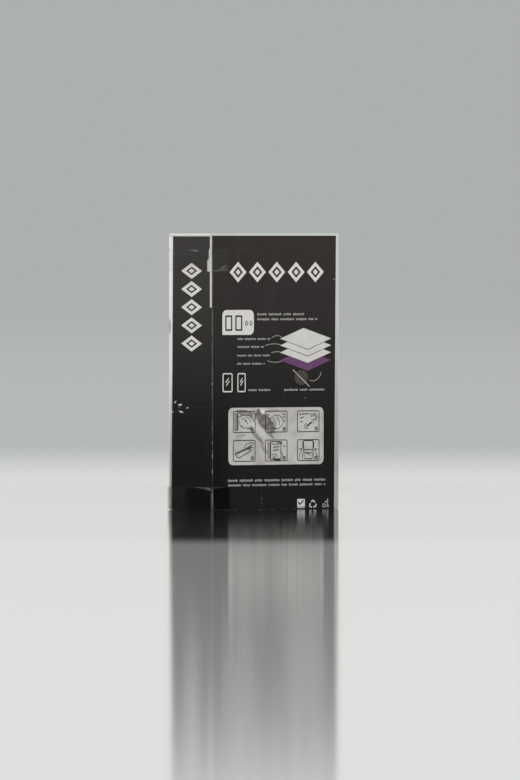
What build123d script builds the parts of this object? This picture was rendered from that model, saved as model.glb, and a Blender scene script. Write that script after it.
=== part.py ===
from build123d import *
import os

# Closed tuck-end retail carton for phone screen protectors, standing on its bottom end.
# Millimetres. +Z runs up the carton, the wide front panel faces -Y, the narrow title panel faces -X,
# and the origin is the middle of the bottom.

# Carton, outside sizes
height = 172.0
width = 104.0
depth = 42.0
board = 0.45
fold_radius = 0.9

# End closures: one panel folded forward off the back, its tongue tucked in behind the front panel
tuck_gap = 0.35
tuck_gap_depth = 4.0
closure_inset = 1.1
lock_slit_length = 7.0
lock_slit_width = 0.5

# Glue seam down the front left fold: the front panel's cut edge laps a flap folded off the title panel
seam_inset = 0.45

# Upper length of the seam, where the front panel's edge is torn back to the flap
torn_length = 46.0
torn_inset = 0.6

# Bare board beside it on the title panel, where the printed skin has come away: a narrow band,
# slanted off at the tear's lower end, and under the upper tape a patch that widens lower down
skin = 0.15
bare_band_width = 2.1
bare_band_slant = 0.8
patch_upper_width = 3.3
patch_lower_width = 4.9
patch_lower_height = 7.5
patch_corner = 0.8

# Clear tape wrapped round the title panel, each strip with its two ends on the front and the back
tape_thickness = 0.08
tape_bond = 0.02
tape_width = 14.0
upper_tape_drop = 9.8
upper_tape_end = 13.9
lower_tape_lift = 0.3
lower_tape_end = 13.5

# Worked out from the sizes above
front_y = -depth / 2
back_y = depth / 2
left_x = -width / 2
half_height = height / 2
wall_height = height - 2 * board
closure_width = width - 2 * closure_inset
tongue_y = front_y + board + tuck_gap
lock_slit_y = tongue_y + fold_radius
lock_slit_x = (closure_width - lock_slit_length) / 2
flap_fold = board + fold_radius
upper_tape_bottom = height - upper_tape_drop - tape_width
side_section = Plane((0, 0, half_height), x_dir=(0, 1, 0), z_dir=(1, 0, 0))
front_section = Plane((0, 0, half_height), x_dir=(1, 0, 0), z_dir=(0, -1, 0))
front_panel = Plane((left_x, front_y, height), x_dir=(1, 0, 0), z_dir=(0, -1, 0))
title_panel = Plane((left_x, front_y, height), x_dir=(0, -1, 0), z_dir=(-1, 0, 0))

os.makedirs("parts", exist_ok=True)

with BuildPart() as carton:
    # Walls: three round folds, and the glue seam with its flap folded in one board behind the front
    with BuildSketch(Plane.XY.offset(board)):
        RectangleRounded(width, depth, fold_radius)
        with Locations((left_x, front_y)):
            Rectangle(seam_inset, flap_fold, align=(Align.MIN, Align.MIN), mode=Mode.SUBTRACT)
        with Locations((0, board / 2)):
            RectangleRounded(width, depth - board, fold_radius)
    extrude(amount=wall_height)
    # Side panels turn in at both ends as dust flaps, one board below the closures
    with BuildSketch(front_section):
        RectangleRounded(width, wall_height, fold_radius)
    extrude(amount=depth / 2, both=True, mode=Mode.INTERSECT)
    # Front panel with its cut ends, and the closure panels folded forward off the back
    with BuildSketch(side_section):
        with BuildLine():
            front = Polyline((front_y, 0), (front_y, half_height), (back_y - fold_radius, half_height))
            back_fold = TangentArc(front @ 1, (back_y, half_height - fold_radius), tangent=front % 1)
            Line(back_fold @ 1, (back_y, 0))
            mirror(about=Plane.XZ)
        make_face()
    extrude(amount=closure_width / 2, both=True)
    # Gap between the front panel and the tucked tongue, with the round fold from closure to tongue
    with BuildSketch(side_section):
        with BuildLine():
            gap = Polyline(
                (front_y + board, half_height),
                (front_y + board, half_height - tuck_gap_depth),
                (tongue_y, half_height - tuck_gap_depth),
                (tongue_y, half_height - fold_radius),
            )
            tongue_fold = TangentArc(gap @ 1, (tongue_y + fold_radius, half_height), tangent=gap % 1)
            Line(tongue_fold @ 1, gap @ 0)
        make_face()
        mirror(about=Plane.XZ)
    extrude(amount=closure_width / 2, both=True, mode=Mode.SUBTRACT)
    # Slits that lock the tongue, cut in from both ends of its fold
    for end, inwards in ((Plane.XY.offset(height), -board), (Plane.XY, board)):
        with BuildSketch(end):
            with Locations((-lock_slit_x, lock_slit_y), (lock_slit_x, lock_slit_y)):
                Rectangle(lock_slit_length, lock_slit_width, align=(Align.CENTER, Align.MIN))
        extrude(amount=inwards, mode=Mode.SUBTRACT)
    # Tear down the upper length of the seam
    with BuildSketch(front_panel):
        Rectangle(torn_inset, torn_length, align=(Align.MIN, Align.MAX))
    extrude(amount=-board, mode=Mode.SUBTRACT)
    # Bare board beside the tear
    with BuildSketch(title_panel):
        with BuildLine():
            Polyline(
                (0, 0),
                (0, -torn_length),
                (-bare_band_width, -torn_length + bare_band_slant),
                (-bare_band_width, 0),
                close=True,
            )
        make_face()
        with Locations((0, upper_tape_bottom - height)):
            for reach, rise in ((patch_upper_width, tape_width), (patch_lower_width, patch_lower_height)):
                RectangleRounded(2 * reach, rise, patch_corner, align=(Align.CENTER, Align.MIN))
    extrude(amount=-skin, mode=Mode.SUBTRACT)

carton.part.label = "carton"
export_step(carton.part, "parts/carton.step")

# Each strip of tape follows both folds of the title panel
tapes = {
    "tape_upper": (upper_tape_bottom, upper_tape_end),
    "tape_lower": (lower_tape_lift, lower_tape_end),
}
for label, (bottom, end) in tapes.items():
    inner = tape_bond
    outer = tape_bond + tape_thickness
    with BuildPart() as tape:
        with BuildSketch(Plane.XY.offset(bottom)):
            RectangleRounded(width + 2 * outer, depth + 2 * outer, fold_radius + outer)
            RectangleRounded(width + 2 * inner, depth + 2 * inner, fold_radius + inner, mode=Mode.SUBTRACT)
            with Locations((left_x - outer, 0)):
                Rectangle(
                    end + outer,
                    depth + 2 * outer,
                    align=(Align.MIN, Align.CENTER),
                    mode=Mode.INTERSECT,
                )
        extrude(amount=tape_width)
    tape.part.label = label
    export_step(tape.part, f"parts/{label}.step")
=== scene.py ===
"""Dresses a closed retail carton for phone screen protectors: card, print, foil, tape and stage."""

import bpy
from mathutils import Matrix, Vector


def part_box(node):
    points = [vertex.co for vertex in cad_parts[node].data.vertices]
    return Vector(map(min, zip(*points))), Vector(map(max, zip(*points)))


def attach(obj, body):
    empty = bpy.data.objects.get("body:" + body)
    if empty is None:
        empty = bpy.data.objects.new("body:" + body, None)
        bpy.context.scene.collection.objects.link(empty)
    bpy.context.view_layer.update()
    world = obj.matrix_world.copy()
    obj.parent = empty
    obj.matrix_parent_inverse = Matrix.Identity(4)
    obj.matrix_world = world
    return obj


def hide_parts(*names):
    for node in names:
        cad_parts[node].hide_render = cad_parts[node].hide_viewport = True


bl_info = {
    "name": "Screen Protector Carton",
    "version": (1, 0, 0),
    "blender": (4, 5, 0),
    "location": "View3D > Sidebar > Carton",
    "description": "Finishes and prints a closed carton round its packed model",
    "category": "Object",
}

import math
import bpy
from mathutils import Color, Vector

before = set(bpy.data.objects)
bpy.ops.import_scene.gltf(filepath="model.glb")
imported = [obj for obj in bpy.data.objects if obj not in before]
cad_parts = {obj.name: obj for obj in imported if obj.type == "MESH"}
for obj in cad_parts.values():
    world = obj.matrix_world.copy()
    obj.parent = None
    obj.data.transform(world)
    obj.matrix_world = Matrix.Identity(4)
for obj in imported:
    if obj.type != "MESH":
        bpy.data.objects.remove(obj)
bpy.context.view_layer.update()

MM = 0.001
LOW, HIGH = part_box("carton")
SIZE = HIGH - LOW

# Panels, by the foot of their left-hand edge seen from outside and their turn about the carton's axis
PANELS = {
    "front": (LOW.x, LOW.y, 0.0),
    "right": (HIGH.x, LOW.y, 90.0),
    "back": (HIGH.x, HIGH.y, 180.0),
    "title": (LOW.x, HIGH.y, -90.0),
}

# Print, in millimetres: how far it stands proud, how deep it is sunk, and one step between stacked inks
INK = 0.05
SUNK = 0.02
INK_STEP = 0.02

# Mock text: lengths of its words, and the cells that one letter and one line are divided into
WORDS = (5, 7, 4, 8, 6, 3)
LETTER_CELLS = 4
LINE_ROWS = 5
# Which letters reach up or down, as a step and a cycle, and which rows of a letter may be open
TALL_LETTERS = (3, 4)
DEEP_LETTERS = (5, 7)
OPEN_ROWS = 3
MIDDLE_ROW = 2

# Steps of round corners, line ends, curved lines and discs, and the share of a line that its round end takes
ROUND_STEPS = 5
BAR_STEPS = 2
ARC_STEPS = 20
OVAL_CORNERS = 40
BAR_ROUND = 0.45

SCREEN_WHITE = 255


def linear(red, green, blue):
    """A colour given as 8-bit screen levels, as linear light."""
    levels = Color([level / SCREEN_WHITE for level in (red, green, blue)])
    return tuple(levels.from_srgb_to_scene_linear())


def darker(colour, share):
    """A colour with its light cut to a share."""
    return tuple(level * share for level in colour)


# Modelling by hand

def deselect():
    """Goes back to object mode with nothing selected."""
    if bpy.context.mode != "OBJECT":
        bpy.ops.object.mode_set(mode="OBJECT")
    bpy.ops.object.select_all(action="DESELECT")


def edit(piece):
    """Opens one piece in edit mode with all of it selected."""
    deselect()
    piece.select_set(True)
    bpy.context.view_layer.objects.active = piece
    bpy.ops.object.mode_set(mode="EDIT")
    bpy.ops.mesh.select_all(action="SELECT")


def pick(piece, kind, test):
    """Opens a piece in edit mode with the corners, edges or faces selected whose middle passes a test."""
    edit(piece)
    bpy.ops.mesh.select_mode(type=kind)
    bpy.ops.mesh.select_all(action="DESELECT")
    bpy.ops.object.mode_set(mode="OBJECT")
    mesh = piece.data
    if kind == "VERT":
        for corner in mesh.vertices:
            corner.select = test(corner.co)
    else:
        for part in mesh.edges if kind == "EDGE" else mesh.polygons:
            spots = [mesh.vertices[index].co for index in part.vertices]
            part.select = test(sum(spots, Vector()) / len(spots))
    bpy.ops.object.mode_set(mode="EDIT")


def done():
    """Closes edit mode and returns the piece."""
    bpy.ops.object.mode_set(mode="OBJECT")
    return bpy.context.object


def resized(across, up):
    """Stretches the flat shape just added to its size and returns it with its place in its mesh."""
    flat = bpy.context.object
    flat.scale = (across, up, 1.0)
    bpy.ops.object.transform_apply()
    return flat


def plate(low, high, corner=0.0, rounded=lambda spot: True):
    """A flat plate between two places on a panel, with the corners that pass a test rounded."""
    deselect()
    middle = [(a + b) / 2 * MM for a, b in zip(low, high)]
    bpy.ops.mesh.primitive_plane_add(size=MM, location=(*middle, 0.0))
    flat = resized(high[0] - low[0], high[1] - low[1])
    if corner:
        pick(flat, "VERT", rounded)
        bpy.ops.mesh.bevel(offset=corner * MM, segments=ROUND_STEPS, affect="VERTICES")
        done()
    return flat


def bar(start, end, stroke):
    """A thin straight line between two places, with round ends."""
    deselect()
    run = Vector(end) - Vector(start)
    middle = (Vector(start) + Vector(end)) / 2 * MM
    turn = (0.0, 0.0, math.atan2(run.y, run.x))
    bpy.ops.mesh.primitive_plane_add(size=MM, location=(*middle, 0.0), rotation=turn)
    flat = resized(run.length, stroke)
    edit(flat)
    bpy.ops.mesh.bevel(offset=stroke * BAR_ROUND * MM, segments=BAR_STEPS, affect="VERTICES")
    return done()


def oval(middle, across, up, corners=OVAL_CORNERS):
    """A flat disc by its middle and its two radii."""
    deselect()
    place = (middle[0] * MM, middle[1] * MM, 0.0)
    bpy.ops.mesh.primitive_circle_add(vertices=corners, radius=MM, fill_type="NGON", location=place)
    return resized(across, up)


def diamond(middle, across, up):
    """A flat diamond by its middle and half of its two spans."""
    return oval(middle, across, up, corners=4)


def outline(flat, stroke):
    """Leaves only a border of a flat shape."""
    edit(flat)
    bpy.ops.mesh.inset(thickness=stroke * MM)
    bpy.ops.mesh.delete(type="FACE")
    return done()


def arc(start, end, rise, stroke):
    """A thin curved line between two places, bowed to the left of its run by a rise."""
    deselect()
    start, end = Vector(start), Vector(end)
    chord = end - start
    middle = (start + end) / 2
    across = Vector((-chord.y, chord.x)).normalized() * math.copysign(1.0, rise)
    radius = (chord.length ** 2 / 4 + rise ** 2) / (2 * abs(rise))
    hub = middle + across * (abs(rise) - radius)
    sweep = 2 * math.asin(min(1.0, chord.length / 2 / radius))
    corners = round(ARC_STEPS * 2 * math.pi / sweep)
    place = (hub.x * MM, hub.y * MM, 0.0)
    bpy.ops.mesh.primitive_circle_add(vertices=corners, radius=radius * MM, location=place)
    flat = resized(1.0, 1.0)
    pick(flat, "VERT", lambda spot: (spot.xy / MM - middle).dot(across) < -stroke / 2)
    bpy.ops.mesh.delete(type="VERT")
    bpy.ops.mesh.select_all(action="SELECT")
    bpy.ops.mesh.extrude_edges_move()
    wider = 1 + stroke / radius
    bpy.ops.transform.resize(value=(wider, wider, 1.0), center_override=place)
    return done()


def copies(flat, steps):
    """A flat shape and one copy of it, with its own mesh, at each step from it."""
    made = [flat]
    for step in steps:
        deselect()
        flat.select_set(True)
        bpy.context.view_layer.objects.active = flat
        bpy.ops.object.duplicate()
        bpy.ops.transform.translate(value=(step[0] * MM, step[1] * MM, 0.0))
        bpy.ops.object.transform_apply()
        made.append(bpy.context.object)
    return made


def text_line(start, end, middle, height, letters, first):
    """A line of mock text: small blocks of uneven height, set out as words from a first one on."""
    deselect()
    place = ((start + end) / 2 * MM, middle * MM, 0.0)
    cells = letters * LETTER_CELLS
    bpy.ops.mesh.primitive_grid_add(x_subdivisions=cells, y_subdivisions=LINE_ROWS, size=MM, location=place)
    flat = resized(end - start, height)
    gaps = set()
    reached = -1
    while reached < letters:
        reached += WORDS[(first + len(gaps)) % len(WORDS)] + 1
        gaps.add(reached)

    def unprinted(spot):
        cell = int((spot.x / MM - start) / (end - start) * cells)
        row = int((spot.y / MM - middle + height / 2) / height * LINE_ROWS)
        letter, column = divmod(cell, LETTER_CELLS)
        if letter in gaps or column == LETTER_CELLS - 1:
            return True
        if row in (0, LINE_ROWS - 1):
            step, cycle = TALL_LETTERS if row else DEEP_LETTERS
            return column > 0 or (letter * step + first) % cycle > 0
        open_row = (letter + first) % OPEN_ROWS + 1
        return column == 1 and row in (MIDDLE_ROW, open_row)

    pick(flat, "FACE", unprinted)
    bpy.ops.mesh.delete(type="FACE")
    bpy.ops.mesh.select_all(action="SELECT")
    bpy.ops.mesh.dissolve_limited()
    return done()


def joined(flats):
    """Joins flat shapes into the first of them."""
    deselect()
    for flat in flats:
        flat.select_set(True)
    bpy.context.view_layer.objects.active = flats[0]
    if len(flats) > 1:
        bpy.ops.object.join()
    return flats[0]


def keep(piece, name, material):
    """Names a finished piece, gives it its finish and lets it ride on the carton."""
    piece.name = name
    piece.data.name = name
    piece.data.materials.clear()
    piece.data.materials.append(material)
    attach(piece, "root")
    return piece


def print_on(panel, name, flats, material, lift=0.0):
    """Raises flat shapes to one thin layer of ink and stands it on a panel."""
    piece = joined(flats)
    edit(piece)
    bpy.ops.mesh.extrude_region_move(TRANSFORM_OT_translate={"value": (0.0, 0.0, (SUNK + INK + lift) * MM)})
    bpy.ops.mesh.select_all(action="SELECT")
    bpy.ops.mesh.normals_make_consistent(inside=False)
    done()
    across, deep, turn = PANELS[panel]
    turn = math.radians(turn)
    inwards = Vector((-math.sin(turn), math.cos(turn), 0.0)) * SUNK * MM
    piece.location = Vector((across, deep, LOW.z)) + inwards
    piece.rotation_euler = (math.pi / 2, 0.0, turn)
    bpy.ops.object.transform_apply()
    return keep(piece, name, material)


# Finishes

# Middle level of noise, and where a mix of two colours has its sockets
NOISE_MIDDLE = 0.5
MIX_COLOURS = slice(6, 8)
MIX_RESULT = 2


class Finish:
    """One material, with short ways to add to its nodes."""

    def __init__(self, name):
        self.material = bpy.data.materials.new(name)
        self.material.use_nodes = True
        self.tree = self.material.node_tree
        self.shader = self.tree.nodes["Principled BSDF"]
        self.out = self.tree.nodes["Material Output"]
        self.spot = self.add("ShaderNodeTexCoord").outputs["Object"]

    def add(self, kind, **settings):
        node = self.tree.nodes.new(kind)
        for name, value in settings.items():
            setattr(node, name, value)
        return node

    def put(self, socket, value):
        """Links an output to a socket, or sets a plain value on it."""
        if isinstance(value, bpy.types.NodeSocket):
            self.tree.links.new(value, socket)
        elif socket.type == "RGBA" and len(value) == 3:
            socket.default_value = (*value, 1.0)
        else:
            socket.default_value = value

    def set(self, **sockets):
        """Sets or links the shader's own sockets, an underscore in a name standing for a blank."""
        for name, value in sockets.items():
            self.put(self.shader.inputs[name.replace("_", " ")], value)

    def axes(self):
        node = self.add("ShaderNodeSeparateXYZ")
        self.put(node.inputs[0], self.spot)
        return node.outputs

    def math(self, operation, first, second=0.0):
        node = self.add("ShaderNodeMath", operation=operation)
        self.put(node.inputs[0], first)
        self.put(node.inputs[1], second)
        return node.outputs[0]

    def gather(self, operation, values):
        """Runs one two-sided operation through a list of values."""
        total = values[0]
        for value in values[1:]:
            total = self.math(operation, total, value)
        return total

    def ramp(self, value, low, high, start=0.0, end=1.0, smooth=True):
        """Goes from start to end while a value goes from low to high."""
        node = self.add("ShaderNodeMapRange", interpolation_type="SMOOTHSTEP" if smooth else "LINEAR")
        for socket, given in zip(node.inputs, (value, low, high, start, end)):
            self.put(socket, given)
        return node.outputs[0]

    def under(self, value, limit, soft):
        """1 where a value is under a limit, with a soft edge."""
        return self.ramp(self.math("SUBTRACT", value, limit), soft, -soft)

    def away(self, value, place):
        """How far a value is from a place, either way."""
        return self.math("ABSOLUTE", self.math("SUBTRACT", value, place))

    def noise(self, scale, detail=2.0, stretch=(1.0, 1.0, 1.0)):
        node = self.add("ShaderNodeTexNoise")
        mapping = self.add("ShaderNodeMapping")
        self.put(mapping.inputs["Vector"], self.spot)
        mapping.inputs["Scale"].default_value = stretch
        self.put(node.inputs["Vector"], mapping.outputs[0])
        node.inputs["Scale"].default_value = scale
        node.inputs["Detail"].default_value = detail
        return node.outputs[0]

    def patches(self, grain, low, high, start=0.0, end=1.0):
        """Goes from start to end where noise of a grain goes from low to high."""
        return self.ramp(self.noise(*grain), low, high, start, end)

    def relief(self, grain, height):
        """Heights of an uneven surface, by its grain and its greatest height."""
        return self.math("MULTIPLY", self.noise(*grain), height)

    def shaken(self, value, scale, reach):
        """A length with its edge made uneven by a reach either way."""
        node = self.add("ShaderNodeMath", operation="MULTIPLY_ADD")
        self.put(node.inputs[0], self.math("SUBTRACT", self.noise(scale), NOISE_MIDDLE))
        node.inputs[1].default_value = 2 * reach
        self.put(node.inputs[2], value)
        return node.outputs[0]

    def mix(self, factor, first, second):
        node = self.add("ShaderNodeMix", data_type="RGBA")
        self.put(node.inputs["Factor"], factor)
        for socket, colour in zip(node.inputs[MIX_COLOURS], (first, second)):
            self.put(socket, colour)
        return node.outputs[MIX_RESULT]

    def blend(self, factor, first, second):
        """Mixes two shader nodes by a factor."""
        node = self.add("ShaderNodeMixShader")
        self.put(node.inputs[0], factor)
        self.put(node.inputs[1], first.outputs[0])
        self.put(node.inputs[2], second.outputs[0])
        return node

    def bump(self, height):
        """Bends the surface's light by a height in metres."""
        node = self.add("ShaderNodeBump")
        node.inputs["Distance"].default_value = 1.0
        self.put(node.inputs["Height"], height)
        self.set(Normal=node.outputs[0])

    def vector(self, operation, first, second=(0.0, 0.0, 0.0)):
        node = self.add("ShaderNodeVectorMath", operation=operation)
        self.put(node.inputs[0], first)
        self.put(node.inputs[1], second)
        return node.outputs["Value" if operation in ("LENGTH", "DISTANCE") else "Vector"]

    def dab(self, panel, shape, uneven=0.4, soft=0.2, grain=1300.0):
        """1 in a turned ellipse on a panel, given in millimetres and degrees, with an uneven edge."""
        across, up, half_long, half_high, turn = shape
        x, y, panel_turn = PANELS[panel]
        panel_turn = math.radians(panel_turn)
        right = Vector((math.cos(panel_turn), math.sin(panel_turn), 0.0))
        node = self.add("ShaderNodeMapping", vector_type="TEXTURE")
        self.put(node.inputs["Vector"], self.spot)
        node.inputs["Location"].default_value = Vector((x, y, LOW.z + up * MM)) + right * across * MM
        node.inputs["Rotation"].default_value = (0.0, -math.radians(turn), panel_turn)
        node.inputs["Scale"].default_value = (half_long * MM, DAB_DEPTH * MM, half_high * MM)
        reach = self.vector("LENGTH", node.outputs[0])
        return self.under(self.shaken(reach, grain, uneven), 1.0, soft)

    def dabs(self, panel, shapes, **edge):
        """The strongest of several ellipses, each with its strength after its shape."""
        return self.gather("MAXIMUM", [
            self.math("MULTIPLY", self.dab(panel, shape[:-1], **edge), shape[-1]) for shape in shapes
        ])


# Margins, tears and wear of the card
PRINT_EDGE = 0.06 * MM
FACE_DEPTH = 0.05 * MM
BARE_BAND = 2.16 * MM
TORN_INSET = 0.3 * MM
TORN_LENGTH = 46.1 * MM
PATCH_REACH = 5.3 * MM
PATCH_RANGE = (147.9 * MM, 162.5 * MM)
SKIN_DEPTHS = (0.06 * MM, 0.12 * MM)
SEAM_WEAR = 0.75 * MM
DASH_WEAR = 0.55 * MM
SEAM_SOFT = 0.1 * MM
DASH_SOFT = 0.25 * MM
SEAM_FOOT = 14.2 * MM
SEAM_FOOT_SOFT = 0.5 * MM
SEAM_FOOT_WEAR = 0.5
FOOT_WEAR = 0.3 * MM
FOOT_SOFT = 0.2 * MM
CREASE_HEIGHT = 63.8 * MM
CREASE_HALF = 0.25 * MM
CREASE_SOFT = 0.2 * MM
CREASE_REACH = 23.0 * MM
CREASE_FADE = 6.0 * MM
CREASE_WEAR = 0.02
CREASE_DENT = -0.03 * MM
# Worn dashes on the front left fold, by their height and half length in millimetres
FOLD_DASHES = ((78.2, 0.8), (60.0, 0.5), (50.0, 0.8), (41.0, 1.8), (34.2, 2.8), (24.2, 1.7))
# Uneven edges, by the scale of their noise and their reach
TOP_EDGE = (700.0, 0.07 * MM)
FOLD_EDGE = (500.0, 0.08 * MM)
TORN_EDGE = (900.0, 0.5 * MM)
SEAM_EDGE = (1100.0, 0.2 * MM)
DASH_EDGE = (800.0, 0.6 * MM)
LINE_EDGE = (200.0, 0.15 * MM)
# Patchy looks, by the scale, detail and stretch of their noise, the levels of it that they run between,
# and what they run from and to
BROKEN_DASHES = ((420.0, 3.0), 0.36, 0.6, 0.0, 0.8)
WORN_FOOT = ((260.0, 4.0), 0.5, 0.66, 0.0, 0.15)
RAW_EDGE = ((160.0, 3.0), 0.3, 0.7, 0.05, 0.16)
SCUFFS = ((60.0, 6.0, (1.0, 1.0, 0.25)), 0.58, 0.8, 0.0, 0.012)
DIRT = ((45.0, 5.0, (1.0, 1.0, 0.35)), 0.5, 0.72)
SATIN = ((120.0, 4.0), 0.3, 0.7, 0.39, 0.44)
FIBRE_SPECKS = (900.0, 3.0)
# Uneven surfaces, by the scale and detail of their noise and their greatest height
PAPER_GRAIN = ((2600.0, 2.0), 0.004 * MM)
PANEL_WAVES = ((11.0, 1.0), 0.5 * MM)
TORN_FIBRES = ((1500.0, 4.0), 0.05 * MM)
# Painted shade, greying and dirt on the white board, by the heights or depths between which it changes, and
# its shares there
# The board turns greyer towards the foot as painted shade
BOARD_PAINTED_SHADE_RANGE = (10.0 * MM, 110.0 * MM)
# Where dirt patches and the painted shadow line fade in, down from the top
LOWER_DIRT_AND_SHADE = (40.0 * MM, 150.0 * MM, 0.1, 0.75)
# The rear margin turns greyer inwards from its fold, less so high up
REAR_GREYING = (0.5 * MM, 2.8 * MM, 0.0, 0.9)
REAR_GREYING_TOP = 0.1
# The front's board turns greyer still towards the foot, as painted shade
FRONT_PAINTED_SHADE = (40.0 * MM, 140.0 * MM, 0.5, 0.0)
PATCH_DIRT = (0.1, 0.6)
RIM_WEAR = 2.4 * MM
# Painted shadow line beside the front right fold, by its places at the foot and at the top
FOLD_LINE = (2.3 * MM, 1.3 * MM)
FOLD_LINE_HALF = 0.45 * MM
FOLD_LINE_SOFT = 0.2 * MM
FOLD_LINE_SHADE = 0.4
# Black print, lighter high up and darker at the foot as painted light and shade, and its varnish
INK_PAINTED_LIGHT_RANGE = (30.0 * MM, 165.0 * MM)
FOLD_PAINTED_SHADE_REACH = 24.0 * MM
SHINE_RANGE = (20.0 * MM, 110.0 * MM)
VARNISH_SHINE = (0.07, 0.1)
TAPED_SHINE = 0.5
BOARD_ROUGHNESS = 0.62
# Dabs by their place on a panel, half length, half height, turn in degrees and strength
CHIPS = (
    (6.4, 66.8, 1.2, 0.4, 40.0, 0.9),
    (11.2, 65.3, 1.9, 0.5, 3.0, 1.0),
    (10.4, 63.8, 0.8, 0.25, 45.0, 0.4),
    (18.3, 63.5, 1.0, 0.42, 15.0, 0.9),
    (12.1, 60.9, 2.0, 0.55, -10.0, 1.0),
    (3.9, 60.9, 1.1, 0.35, 0.0, 0.8),
)
# Painted highlights on the title panel: a glint along the upper tape's top edge and a long faint sheen
# beside the front fold
TITLE_PAINTED_HIGHLIGHTS = ((25.4, 161.2, 4.0, 0.4, -4.0, 0.14), (38.2, 36.0, 24.0, 2.2, 90.0, 0.006))
FRONT_RUBS = (
    (40.3, 7.6, 3.8, 0.14, 90.0, 0.1),
    (40.2, 6.7, 0.4, 0.3, 0.0, 0.3),
    (40.3, 4.1, 0.5, 0.35, 0.0, 0.25),
    (76.2, 69.4, 0.6, 0.35, 90.0, 0.3),
    (99.8, 143.2, 0.45, 0.4, 0.0, 0.4),
    (21.0, 157.6, 1.8, 0.2, 85.0, 0.14),
    (21.8, 152.0, 2.8, 0.18, 90.0, 0.07),
    (28.1, 160.6, 8.0, 0.25, -13.0, 0.03),
)
REAR_STAINS = (
    (1.0, 114.0, 4.2, 1.3, 90.0, 0.75),
    (0.7, 161.8, 0.9, 0.5, 0.0, 0.8),
    (0.7, 149.4, 0.9, 0.45, 0.0, 0.6),
    (0.9, 10.5, 3.6, 0.9, 90.0, 0.6),
    (0.6, 2.4, 1.6, 0.7, 90.0, 0.6),
)
# How far a dab reaches into the card
DAB_DEPTH = 0.6


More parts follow.
